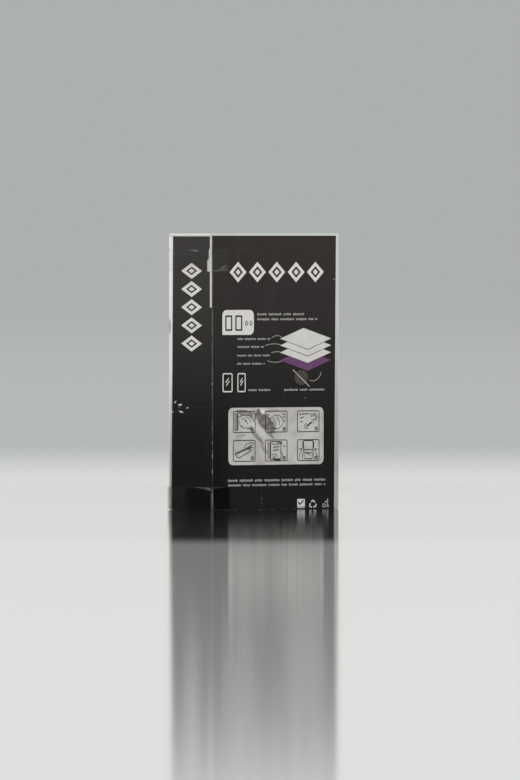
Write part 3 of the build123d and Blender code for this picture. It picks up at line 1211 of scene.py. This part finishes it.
def wiping(u, v):
    """A hand that wipes a screen with a cloth."""
    cloth = ((-4.6, 2.6, 7.8, 2.2, 1.6), (-3.8, 0.4, 1.2, -3.4, -1.6), (1.2, -3.4, 6.0, -2.2, -1.0))
    folds = ((-1.6, 2.0, 2.6, -1.2, 0.7), (1.4, 2.6, 5.4, -0.8, 0.9), (4.2, 2.8, 7.6, 0.0, 0.7))
    edge = lines(u, v, ((-5.3, -5.4, -5.3, 5.4),), HEAVY_STROKE)
    drops = lines(u, v, ((3.0, -3.9, 4.8, -4.3), (-2.4, -2.2, -1.6, -3.4), (0.4, 0.6, 2.0, 0.2)))
    return edge + bows(u, v, cloth + folds) + drops + [box_line(u, v, -7.9, -5.6, -6.2, 5.6)]


def drying(u, v):
    """A hand that goes over a screen with a second cloth."""
    cloth = ((-5.2, 0.4, 4.6, 2.0, 2.6), (-5.2, 0.4, -1.4, -4.0, -1.4), (-1.4, -4.0, 4.6, -1.6, -1.2))
    folds = ((-2.8, 1.8, -0.6, -2.6, 0.6), (0.4, 2.6, 2.4, -1.8, 0.6), (4.6, 2.0, 5.4, -1.4, 0.5))
    rays = ((5.0, 4.9, 7.8, 4.3), (5.6, 3.2, 7.8, 2.4), (-7.8, 4.4, -5.2, 4.0), (6.0, 0.6, 7.6, 0.0))
    return bows(u, v, cloth + folds) + lines(u, v, rays)


def peeling(u, v):
    """A sticker that lifts dust off a screen."""
    specks = rings(u, v, ((2.6, 3.6), (5.0, 4.2), (6.6, 2.6)), 1.0, 0.9)
    edges = ((-7.6, 4.4, 1.0, 4.8), (-6.8, 1.8, -3.4, 2.8), (-6.6, -0.6, -4.6, 0.2), (4.2, 1.4, 7.0, 0.8))
    sticker = ((-2.6, -3.4, -1.4, -1.8, 0.5), (-2.6, -3.4, -0.2, -4.0, -0.4), (2.8, 0.8, 4.0, -1.0, 0.5))
    tool = lines(u, v, ((-1.4, -3.2, 3.0, -0.4),), HEAVY_STROKE)
    return specks + lines(u, v, edges) + bows(u, v, sticker) + tool


def lifting(u, v):
    """A sheet with a hand that lifts its film by one corner."""
    edges = ((-7.8, -1.8, 3.4, 2.2), (-4.6, -4.6, 5.6, 0.0), (-7.8, -1.8, -4.6, -4.6), (3.4, 2.2, 5.6, 0.0))
    film = ((-6.4, -2.0, 3.6, 1.4), (3.4, 2.2, 6.6, 3.6))
    fingers = ((0.2, 1.8, 4.4, 4.6, 0.8), (2.0, 1.6, 5.4, 3.0, -0.6))
    palm = ((4.4, 4.6, 7.6, 4.2, 0.5), (3.6, 0.6, 7.0, 1.6, 0.5))
    return lines(u, v, edges + film) + bows(u, v, fingers + palm)


def laying(u, v):
    """A sheet laid on a screen."""
    phone = box_line(u, v, -5.2, -5.8, 4.2, 5.8)
    edges = ((-4.9, -5.4, -4.9, 5.4), (-1.8, -5.6, 3.6, -5.6))
    rows = ((-6.6, 5.6, -6.6, -5.6), (-2.6, 2.0, 2.6, 2.4), (-2.6, 0.2, 2.2, 0.4), (5.8, 3.0, 7.6, 2.2))
    curls = ((-3.4, 4.8, 0.6, 4.4, -0.7), (-3.2, -3.2, 0.8, -3.8, 0.9), (3.4, -1.0, 5.0, -4.4, 0.6))
    ovals = rings(u, v, ((1.8, 4.4), (4.0, 4.6), (-1.8, -4.4)), 1.2, 0.8)
    return [phone] + ovals + lines(u, v, edges, HEAVY_STROKE) + lines(u, v, rows) + bows(u, v, curls)


def pressing(u, v):
    """Two hands that press a sheet down."""
    phone = box_line(u, v, -4.2, 0.0, 4.2, 6.2)
    sides = ((-4.2, 1.2, -4.2, 5.6), (4.2, 1.2, 4.2, 5.6))
    rows = ((-7.8, 0.8, -4.6, 0.8), (4.8, 0.6, 7.8, 0.6), (-2.8, -1.6, 2.8, -1.6), (-2.6, -5.4, 2.6, -5.4))
    hands = ((-7.0, -5.4, -4.8, 0.4, 0.7), (-4.6, -5.6, -3.2, 0.0, 0.5), (7.0, -5.4, 4.8, 0.4, -0.7))
    palms = ((3.2, 0.0, 4.4, -5.6, 0.5), (-2.8, -1.6, -2.6, -5.4, -0.5), (2.8, -1.6, 2.6, -5.4, 0.5))
    bends = hands + palms + ((-1.4, -2.6, 1.4, -3.4, 0.5),)
    return [phone] + lines(u, v, sides, HEAVY_STROKE) + lines(u, v, rows) + bows(u, v, bends)


TICK_BOX = ((69.6, 1.5), (75.8, 6.3))
TICK_FOOT = ((69.6, 0.7), (75.8, 1.1))
TICK_CORNER = 0.4
TICK = ((70.2, 4.5), (71.9, 2.8), (74.8, 5.7))
TICK_STROKE = 1.0
LOOP_ARMS = 3
LOOP_MIDDLE = (82.4, 2.9)
LOOP_REACHES = (4.0, 3.2)
LOOP_STROKE = 0.9
# Ends and bends of one arm, as shares of the way from its corner back to the last and on to the next
LOOP_ARM = (-0.38, -0.19, 0.19, 0.46)
BIN = ((90.4, 1.0), (92.8, 3.2))
BIN_STROKE = 0.5
FIGURE_HEAD = (94.5, 5.6)
FIGURE_HEAD_RADIUS = 0.6
FIGURE_HEAD_CORNERS = 16
FIGURE_STROKE = 0.7
FIGURE_LIMBS = (
    ((94.5, 4.8), (94.6, 2.9)),
    ((94.6, 2.9), (93.9, 1.0)),
    ((94.6, 2.9), (95.3, 1.0)),
    ((94.4, 4.5), (92.2, 4.3)),
)


class CARTON_OT_signs(bpy.types.Operator):
    """Print the tick box, the loop and the bin at the foot of the front"""

    bl_idname = "carton.signs"
    bl_label = "Care signs"

    def execute(self, context):
        colours = context.scene.carton_colours
        pale = ink_finish("pale_ink", colours.pale_ink)
        grey = ink_finish("text_ink", colours.text_ink)
        shapes = [plate(*TICK_BOX, TICK_CORNER), plate(*TICK_FOOT)]
        across, up = LOOP_REACHES
        tips = []
        for arm in range(LOOP_ARMS):
            turn = math.tau * arm / LOOP_ARMS
            tips.append(Vector(LOOP_MIDDLE) + Vector((math.sin(turn) * across, math.cos(turn) * up)))
        for index, corner in enumerate(tips):
            last, following = tips[index - 1], tips[(index + 1) % LOOP_ARMS]
            bends = [corner.lerp(following if share > 0 else last, abs(share)) for share in LOOP_ARM]
            shapes += [bar(start, end, LOOP_STROKE) for start, end in zip(bends, bends[1:])]
        print_on("front", "care_signs", shapes, pale)
        head = oval(FIGURE_HEAD, FIGURE_HEAD_RADIUS, FIGURE_HEAD_RADIUS, FIGURE_HEAD_CORNERS)
        figure = [outline(plate(*BIN), BIN_STROKE), head]
        figure += [bar(start, end, FIGURE_STROKE) for start, end in FIGURE_LIMBS]
        print_on("front", "care_figure", figure, grey)
        strokes = [bar(start, end, TICK_STROKE) for start, end in zip(TICK, TICK[1:])]
        dark = ink_finish("line_ink", colours.line_ink, LINE_RUB)
        print_on("front", "care_tick", strokes, dark, INK_STEP)
        return {"FINISHED"}


# Tape, in millimetres: its width, its film, its stand-off from the card, and its toothed ends and folds
TAPE_WIDTH = 14.0
TAPE_FILM = 0.06
TAPE_OFF = 0.08
TAPE_ROWS = 20
TAPE_TOOTH = 0.5
TAPE_FOLD = 0.95
# Its look: where it turns to its rear tint, the haze along its edges, the patches that break up its smudges
# and painted glint, its ripples and shine
TAPE_REAR = (18.0, 30.0)
TAPE_EDGE_WIDTH = 0.4
TAPE_EDGE = 0.02
TAPE_SMEAR_AND_GLINT_PATCHES = ((900.0, 4.0), 0.35, 0.6, 0.25, 1.0)
TAPE_RIPPLE = ((45.0, 3.0), 0.25 * MM)
TAPE_SHINE = 0.0026
TAPE_GRAZING = 5.0
TAPE_ROUGHNESS = 0.1
TAPE_HAZE_ROUGHNESS = 0.4
# Each strip's foot, the reach of its ends and its lift off the rear fold, then how much of the card shows
# through on the front, beside the front fold and at the rear, and its haze on the front
# The lower strip's darker films beside the front fold are painted shade for a dark reflection in the film,
# on top of the real darkening where film wets the card
TAPES = {
    "tape_upper": (148.2, 13.6, 0.1, (1.0, 0.985, 0.99), 0.004),
    "tape_lower": (0.3, 13.5, 0.6, (0.64, 0.52, 0.9), 0.0),
}
# Smudges and lifted places of each strip, and a painted glint on the upper one, as dabs
SMEARS_AND_GLINT = {
    "tape_upper": {
        "front": (
            (6.4, 149.8, 1.8, 0.15, 40.0, 0.26),
            (8.2, 150.6, 2.6, 0.16, 42.0, 0.3),
            (9.8, 151.0, 2.8, 0.15, 38.0, 0.3),
            (11.4, 150.2, 1.6, 0.14, 48.0, 0.24),
            (6.5, 148.9, 6.0, 0.3, 2.0, 0.12),
            (9.5, 161.6, 3.0, 0.22, 0.0, 0.06),
        ),
        # Painted glint along the upper strip's top edge on the title panel
        "title": ((25.0, 161.2, 4.2, 0.3, -3.0, 0.16),),
    },
    "tape_lower": {
        "front": ((5.0, 14.0, 5.0, 0.2, 1.0, 0.12), (0.6, 6.4, 6.6, 0.5, 90.0, 0.15)),
        "title": (
            (31.4, 13.9, 7.6, 0.24, -5.0, 0.3),
            (38.6, 13.2, 3.4, 0.9, -12.0, 0.24),
            (41.4, 6.4, 6.8, 0.7, 89.0, 0.15),
        ),
    },
}


def tape_strip(bottom, end, lift):
    """A strip of film round the title panel, with a toothed end on the front and on the back."""
    deselect()
    left, front, rear = LOW.x - TAPE_OFF * MM, LOW.y - TAPE_OFF * MM, HIGH.y + TAPE_OFF * MM
    reach = (end + TAPE_OFF) * MM
    row = TAPE_WIDTH * MM / TAPE_ROWS

    def by_fold(spot):
        return spot.x < left + row and abs(spot.y) > rear - row

    def tooth(spot):
        return spot.x > left + row and round((spot.z - bottom * MM) / row) % 2 == 1

    place = (left + reach / 2, front, (bottom + TAPE_WIDTH / 2) * MM)
    upright = (math.pi / 2, 0.0, 0.0)
    bpy.ops.mesh.primitive_grid_add(
        x_subdivisions=1, y_subdivisions=TAPE_ROWS, size=MM, location=place, rotation=upright
    )
    strip = resized(end + TAPE_OFF, TAPE_WIDTH)
    pick(strip, "EDGE", by_fold)
    for run in ((0.0, rear - front, 0.0), (reach, 0.0, 0.0)):
        bpy.ops.mesh.extrude_region_move(TRANSFORM_OT_translate={"value": run})
    done()
    pick(strip, "VERT", tooth)
    bpy.ops.transform.translate(value=(TAPE_TOOTH * MM, 0.0, 0.0))
    done()
    pick(strip, "VERT", lambda spot: by_fold(spot) and spot.y > 0.0)
    bpy.ops.transform.translate(value=(-lift * MM, lift * MM, 0.0))
    done()
    pick(strip, "EDGE", lambda spot: spot.x < left + row - lift * MM and abs(spot.y) > rear - row)
    bpy.ops.mesh.bevel(offset=TAPE_FOLD * MM, segments=ROUND_STEPS, affect="EDGES")
    done()
    wall = strip.modifiers.new("Film", "SOLIDIFY")
    wall.thickness = TAPE_FILM * MM
    wall.offset = 1.0
    bpy.ops.object.modifier_apply(modifier=wall.name)
    return strip


class CARTON_OT_tape(bpy.types.Operator):
    """Wrap the two strips of clear tape round the title panel"""

    bl_idname = "carton.tape"
    bl_label = "Tape"

    def execute(self, context):
        colours = context.scene.carton_colours
        for name, (bottom, end, lift, films, haze) in TAPES.items():
            strip = tape_strip(bottom, end, lift)
            finish = tape_finish(name, bottom, films, haze, SMEARS_AND_GLINT[name], colours)
            keep(strip, f"{name}_film", finish)
            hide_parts(name)
        return {"FINISHED"}


# Stage, in metres
FLOOR_RADIUS = 40.0
FLOOR_CORNERS = 96
LIT_RANGE = (0.6, 1.0)
PALE_CENTRE = 3.5
PALE_RANGE = (3.3, 6.6)
HAZE_RANGE = (6.6, 30.0)
HORIZON_RANGE = (0.04, 0.14)
# The floor mirrors only at low angles, and less away from the carton
FLOOR_GLOSS = (1.0, 0.8)
GLOSS_RANGE = (0.85, 1.15)
LOW_ANGLES = (0.75, 0.96)
FLOOR_ROUGHNESS = 0.08
FLOOR_DULL = 0.64
# Lamps by their azimuth and elevation in degrees, distance, size and power
LAMPS = {
    "front_softbox": (25.0, 42.0, 0.9, 0.7, 5.0),
    "title_softbox": (-105.0, 42.0, 0.9, 0.6, 4.5),
    "top_softbox": (0.0, 88.0, 1.1, 0.9, 3.0),
}


def floor_finish(stage):
    """Pale floor that keeps the shadow near the carton and fades to the wall's grey far behind it."""
    floor = Finish("pale_floor")
    floor.tree.nodes.remove(floor.shader)

    towards = Vector((math.sin(stage.azimuth), -math.cos(stage.azimuth), 0.0))
    away = floor.vector("DISTANCE", floor.spot, towards * PALE_CENTRE)
    grey = floor.ramp(away, *PALE_RANGE)
    behind = floor.mix(floor.ramp(away, *HAZE_RANGE), stage.haze, stage.wall)
    shown = floor.add("ShaderNodeEmission")
    floor.put(shown.inputs["Color"], floor.mix(grey, stage.floor, behind))
    matt = floor.add("ShaderNodeBsdfDiffuse")
    floor.put(matt.inputs["Color"], darker(stage.floor, FLOOR_DULL))
    gloss = floor.add("ShaderNodeBsdfGlossy")
    floor.put(gloss.inputs["Roughness"], FLOOR_ROUGHNESS)
    path = floor.add("ShaderNodeLightPath")
    direct = floor.math("MAXIMUM", path.outputs["Is Camera Ray"], path.outputs["Is Glossy Ray"])
    reach = floor.vector("LENGTH", floor.spot)
    lit = floor.blend(floor.math("MULTIPLY", floor.ramp(reach, *LIT_RANGE), direct), matt, shown)
    low_view = floor.ramp(floor.add("ShaderNodeLayerWeight").outputs["Facing"], *LOW_ANGLES)
    mirrored = floor.math("MULTIPLY", floor.ramp(reach, *GLOSS_RANGE, *FLOOR_GLOSS), low_view)
    whole = floor.blend(floor.math("MULTIPLY", mirrored, floor.ramp(grey, 0.0, 1.0, 1.0, 0.0)), lit, gloss)
    floor.put(floor.out.inputs["Surface"], whole.outputs[0])
    return floor.material


def room_light(scene, stage):
    """Even soft light from all round, paler at the horizon, with the wall's grey in the picture."""
    world = bpy.data.worlds.new("Room")
    scene.world = world
    world.use_nodes = True
    tree = world.node_tree
    way = tree.nodes.new("ShaderNodeTexCoord")
    axes = tree.nodes.new("ShaderNodeSeparateXYZ")
    tree.links.new(way.outputs["Generated"], axes.inputs[0])
    height = tree.nodes.new("ShaderNodeMapRange")
    tree.links.new(axes.outputs["Z"], height.inputs["Value"])
    height.inputs["From Min"].default_value, height.inputs["From Max"].default_value = HORIZON_RANGE
    around = tree.nodes.new("ShaderNodeMix")
    around.data_type = "RGBA"
    tree.links.new(height.outputs[0], around.inputs["Factor"])
    for socket, colour in zip(around.inputs[MIX_COLOURS], (stage.horizon, stage.room)):
        socket.default_value = (*colour, 1.0)
    light = tree.nodes["Background"]
    tree.links.new(around.outputs[MIX_RESULT], light.inputs["Color"])
    wall = tree.nodes.new("ShaderNodeBackground")
    wall.inputs["Color"].default_value = (*stage.wall, 1.0)
    path = tree.nodes.new("ShaderNodeLightPath")
    choose = tree.nodes.new("ShaderNodeMixShader")
    tree.links.new(path.outputs["Is Camera Ray"], choose.inputs[0])
    tree.links.new(light.outputs[0], choose.inputs[1])
    tree.links.new(wall.outputs[0], choose.inputs[2])
    tree.links.new(choose.outputs[0], tree.nodes["World Output"].inputs["Surface"])


class CARTON_OT_stage(bpy.types.Operator):
    """Set up the floor, the soft light and the camera"""

    bl_idname = "carton.stage"
    bl_label = "Stage"

    def execute(self, context):
        scene = context.scene
        stage = scene.carton_stage
        scene.view_settings.view_transform = "Standard"
        room_light(scene, stage)
        deselect()
        bpy.ops.mesh.primitive_circle_add(vertices=FLOOR_CORNERS, radius=FLOOR_RADIUS, fill_type="NGON")
        floor = context.object
        floor.name = "floor"
        floor.data.materials.append(floor_finish(stage))

        aim_at = Vector((0.0, 0.0, SIZE.z / 2))
        for name, (azimuth, elevation, distance, size, power) in LAMPS.items():
            side, rise = math.radians(azimuth), math.radians(elevation)
            level = math.cos(rise)
            way = Vector((math.sin(side) * level, -math.cos(side) * level, math.sin(rise)))
            bpy.ops.object.light_add(type="AREA", location=aim_at + way * distance)
            lamp = context.object
            lamp.name = name
            lamp.rotation_euler = way.to_track_quat("Z", "Y").to_euler()
            lamp.data.shape = "SQUARE"
            lamp.data.size = size
            lamp.data.energy = power
            lamp.visible_camera = False

        right = Vector((math.cos(stage.azimuth), math.sin(stage.azimuth), 0.0))
        towards = Vector((math.sin(stage.azimuth), -math.cos(stage.azimuth), 0.0))
        aim = right * stage.aim_right + Vector((0.0, 0.0, stage.aim_up))
        eye = right * stage.aim_right + towards * stage.distance + Vector((0.0, 0.0, stage.eye))
        bpy.ops.object.camera_add(location=eye, rotation=(eye - aim).to_track_quat("Z", "Y").to_euler())
        camera = context.object
        camera.data.lens = camera.data.sensor_width * (eye - aim).length / stage.view_height
        camera.data.clip_end = FLOOR_RADIUS * 2
        scene.camera = camera
        return {"FINISHED"}


class CARTON_PT_panel(bpy.types.Panel):
    """Steps that dress the carton, in their order"""

    bl_label = "Carton"
    bl_idname = "CARTON_PT_panel"
    bl_space_type = "VIEW_3D"
    bl_region_type = "UI"
    bl_category = "Carton"

    def draw(self, context):
        for step in STEPS:
            self.layout.operator(step.bl_idname)
        for group in ("carton_sizes", "carton_colours", "carton_stage"):
            values = getattr(context.scene, group)
            for name in values.__annotations__:
                self.layout.prop(values, name)


STEPS = (
    CARTON_OT_stage,
    CARTON_OT_card,
    CARTON_OT_titles,
    CARTON_OT_badge,
    CARTON_OT_text,
    CARTON_OT_layers,
    CARTON_OT_marks,
    CARTON_OT_foil,
    CARTON_OT_signs,
    CARTON_OT_tape,
)
GROUPS = {"carton_sizes": CartonSizes, "carton_colours": CartonColours, "carton_stage": CartonStage}
CLASSES = (*GROUPS.values(), *STEPS, CARTON_PT_panel)


def register():
    for kind in CLASSES:
        bpy.utils.register_class(kind)
    for name, kind in GROUPS.items():
        setattr(bpy.types.Scene, name, bpy.props.PointerProperty(type=kind))


def unregister():
    for name in GROUPS:
        delattr(bpy.types.Scene, name)
    for kind in reversed(CLASSES):
        bpy.utils.unregister_class(kind)


def main():
    register()
    bpy.ops.carton.stage()
    bpy.ops.carton.card()
    bpy.ops.carton.titles()
    bpy.ops.carton.badge()
    bpy.ops.carton.text()
    bpy.ops.carton.layers()
    bpy.ops.carton.marks()
    bpy.ops.carton.foil()
    bpy.ops.carton.signs()
    bpy.ops.carton.tape()


if __name__ == "__main__":
    main()
